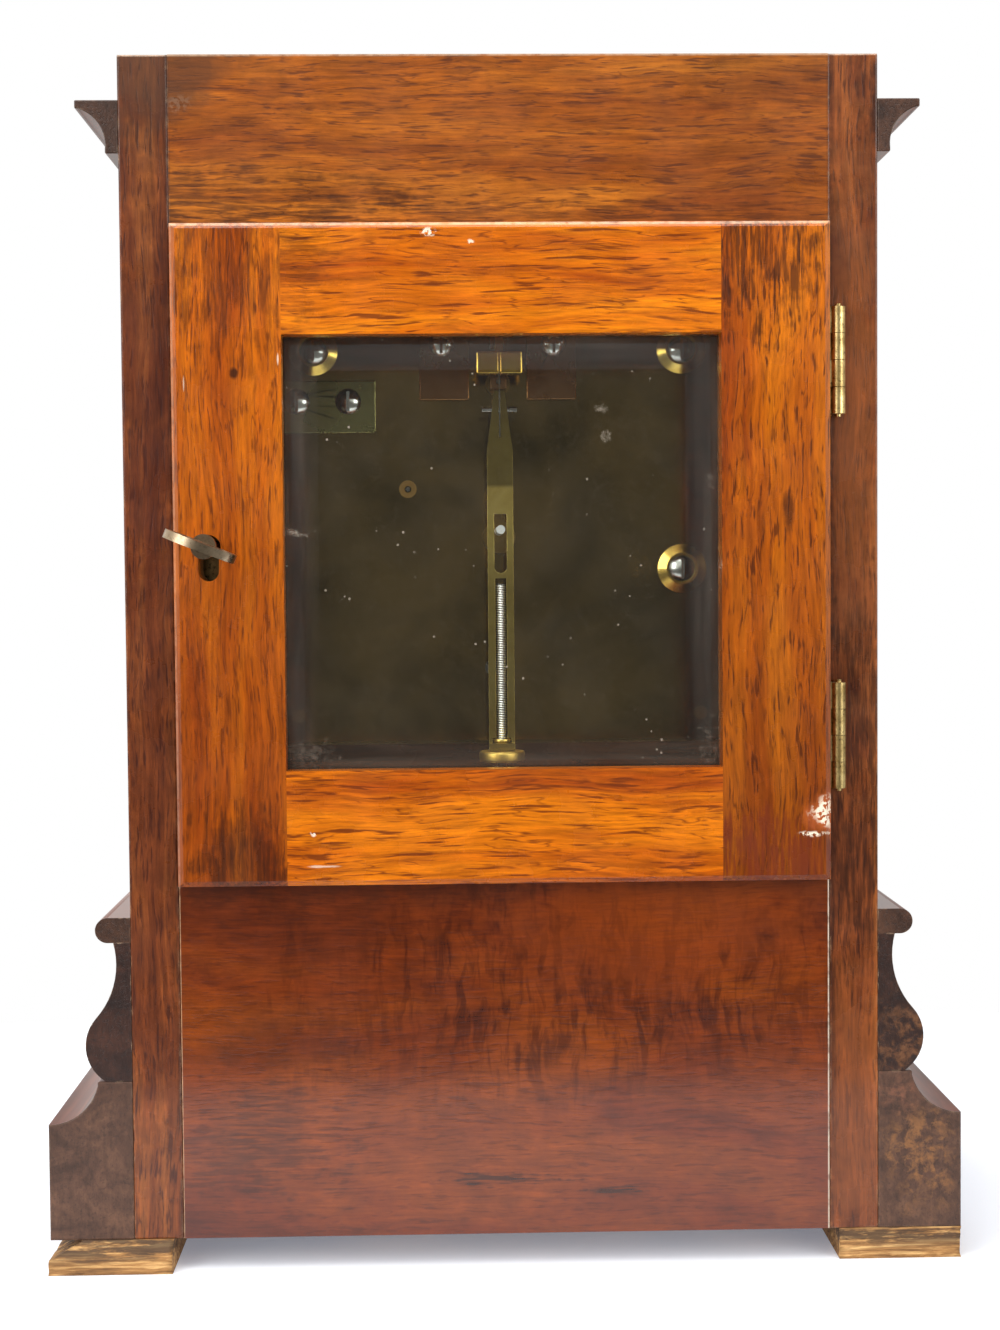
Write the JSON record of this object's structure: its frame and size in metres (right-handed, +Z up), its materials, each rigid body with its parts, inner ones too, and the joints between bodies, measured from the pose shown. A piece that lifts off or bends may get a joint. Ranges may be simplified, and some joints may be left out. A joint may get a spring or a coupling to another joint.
{
  "type": "mantel clock",
  "caption": "Wooden spring-driven mantel clock with a hinged, glazed back door, lock and key, and a pendulum movement with rating screw, moulded plinth and cornice.",
  "frame": {"origin": "on the floor, at the middle of the overall box", "axes": "+Z up, +Y towards the glazed back door, -Y towards the dial, +X to the right seen from the dial"},
  "size_m": [0.282, 0.202, 0.3706],
  "materials": {
    "mahogany_case": "satin",
    "mahogany_door": "gloss",
    "mahogany_panel": "satin",
    "mahogany_moulding": "satin",
    "softwood": "matte",
    "brass": "polished",
    "plate_brass": "polished",
    "steel": "satin",
    "glass": "clear",
    "dial_enamel": "gloss",
    "hand_steel": "gloss"
  },
  "bodies": {
    "case": {"side_panel_left": "mahogany_case", "side_panel_right": "mahogany_case", "front_panel": "mahogany_case", "top_board": "mahogany_case", "back_top_rail": "mahogany_case", "back_lower_panel": "mahogany_panel", "cornice_moulding": "mahogany_moulding", "waist_ledge": "mahogany_moulding", "ogee_moulding": "mahogany_moulding", "plinth_moulding": "mahogany_moulding", "foot_pads": "softwood", "seat_board": "softwood", "floor_board": "softwood", "back_plate": "plate_brass", "front_plate": "plate_brass", "suspension_cock": "plate_brass", "movement_bracket": "plate_brass", "hinge_case_leaves": "brass", "plate_pillars": "brass", "pillar_collars": "brass", "suspension_chops": "brass", "bezel_hinge": "brass", "hinge_pins": "steel", "movement_screws": "steel", "dial_plate": "dial_enamel"},
    "door": {"door_lock_stile": "mahogany_door", "door_hinge_stile": "mahogany_door", "door_top_rail": "mahogany_door", "door_bottom_rail": "mahogany_door", "door_glass": "glass", "glass_beads": "mahogany_door", "hinge_door_leaves": "brass", "lock_case": "brass"},
    "bolt": {"lock_bolt": "steel"},
    "key": {"door_key": "brass"},
    "bezel": {"bezel_ring": "brass", "bezel_glass": "glass"},
    "pendulum": {"suspension_spring": "steel", "pendulum_rod": "brass"},
    "nut": {"rating_nut": "brass"},
    "bob": {"rating_screw": "steel", "pendulum_bob": "brass"},
    "pallets": {"pallet_arbor": "steel", "crutch": "brass"},
    "escape": {"escape_arbor": "steel", "escape_wheel": "brass"},
    "third": {"third_arbor": "steel", "third_wheel": "brass"},
    "center": {"center_arbor": "steel", "center_wheel": "brass", "cannon_pinion": "steel", "minute_hand": "hand_steel"},
    "barrel": {"barrel_drum": "brass", "mainspring": "steel"},
    "winding": {"barrel_arbor": "steel", "ratchet_wheel": "steel"},
    "click_body": {"click": "steel"},
    "minute": {"minute_wheel": "brass"},
    "hour": {"hour_wheel": "brass", "hour_hand": "hand_steel"}
  },
  "joints": [
    {"name": "door_hinge", "type": "hinge", "parent": "case", "child": "door", "pos_m": [-0.1024, 0.0656, 0.2206], "axis": [0, 0, 1], "range_deg": [0, 115]},
    {"name": "key_turn", "type": "hinge", "parent": "door", "child": "key", "pos_m": [0.0886, 0.063, 0.2222], "axis": [0, 1, 0], "range_deg": [0, 180]},
    {"name": "bolt_slide", "type": "slide", "parent": "door", "child": "bolt", "axis": [1, 0, 0], "range_m": [0, 0.005]},
    {"name": "bezel_swing", "type": "hinge", "parent": "case", "child": "bezel", "pos_m": [-0.092, -0.0776, 0.2206], "axis": [0, 0, -1], "range_deg": [0, 100]},
    {"name": "pendulum_swing", "type": "hinge", "parent": "case", "child": "pendulum", "pos_m": [0, 0.037, 0.2756], "axis": [0, 1, 0], "range_deg": [-3.5, 3.5]},
    {"name": "crutch_swing", "type": "hinge", "parent": "case", "child": "pallets", "pos_m": [0, 0.019, 0.2756], "axis": [0, 1, 0], "range_deg": [-3.5, 3.5]},
    {"name": "nut_turn", "type": "hinge", "parent": "pendulum", "child": "nut", "pos_m": [0, 0.037, 0.1556], "axis": [0, 0, 1], "range_deg": [-540, 1440]},
    {"name": "bob_slide", "type": "slide", "parent": "pendulum", "child": "bob", "axis": [0, 0, 1], "range_m": [-0.003, 0.00112]},
    {"name": "center_turn", "type": "hinge", "parent": "case", "child": "center", "pos_m": [0, -0.025, 0.2206], "axis": [0, 1, 0], "continuous": true},
    {"name": "third_turn", "type": "hinge", "parent": "case", "child": "third", "pos_m": [0.0296, -0.033, 0.2416], "axis": [0, 1, 0], "continuous": true},
    {"name": "escape_turn", "type": "hinge", "parent": "case", "child": "escape", "pos_m": [0, -0.003, 0.2596], "axis": [0, 1, 0], "continuous": true},
    {"name": "barrel_turn", "type": "hinge", "parent": "case", "child": "barrel", "pos_m": [0.0024, -0.003, 0.1831], "axis": [0, 1, 0], "continuous": true},
    {"name": "minute_wheel_turn", "type": "hinge", "parent": "case", "child": "minute", "pos_m": [-0.01579, -0.049, 0.22635], "axis": [0, 1, 0], "continuous": true},
    {"name": "hour_turn", "type": "hinge", "parent": "case", "child": "hour", "pos_m": [0, -0.054, 0.2206], "axis": [0, 1, 0], "continuous": true},
    {"name": "winding_turn", "type": "hinge", "parent": "case", "child": "winding", "pos_m": [0.0024, -0.047, 0.1831], "axis": [0, 1, 0], "continuous": true},
    {"name": "click_lift", "type": "hinge", "parent": "case", "child": "click_body", "pos_m": [0.01673, -0.047, 0.19314], "axis": [0, 1, 0], "range_deg": [0, 12]}
  ],
  "couplings": [
    {"joint": "key_turn", "follows": "bolt_slide", "rad_per_m": 628.32},
    {"joint": "crutch_swing", "follows": "pendulum_swing", "ratio": 1},
    {"joint": "nut_turn", "follows": "bob_slide", "rad_per_m": -8377.6},
    {"joint": "third_turn", "follows": "center_turn", "ratio": -10.5},
    {"joint": "escape_turn", "follows": "center_turn", "ratio": 105},
    {"joint": "barrel_turn", "follows": "center_turn", "ratio": -0.083333},
    {"joint": "minute_wheel_turn", "follows": "center_turn", "ratio": -0.33333},
    {"joint": "hour_turn", "follows": "center_turn", "ratio": 0.083333}
  ]
}
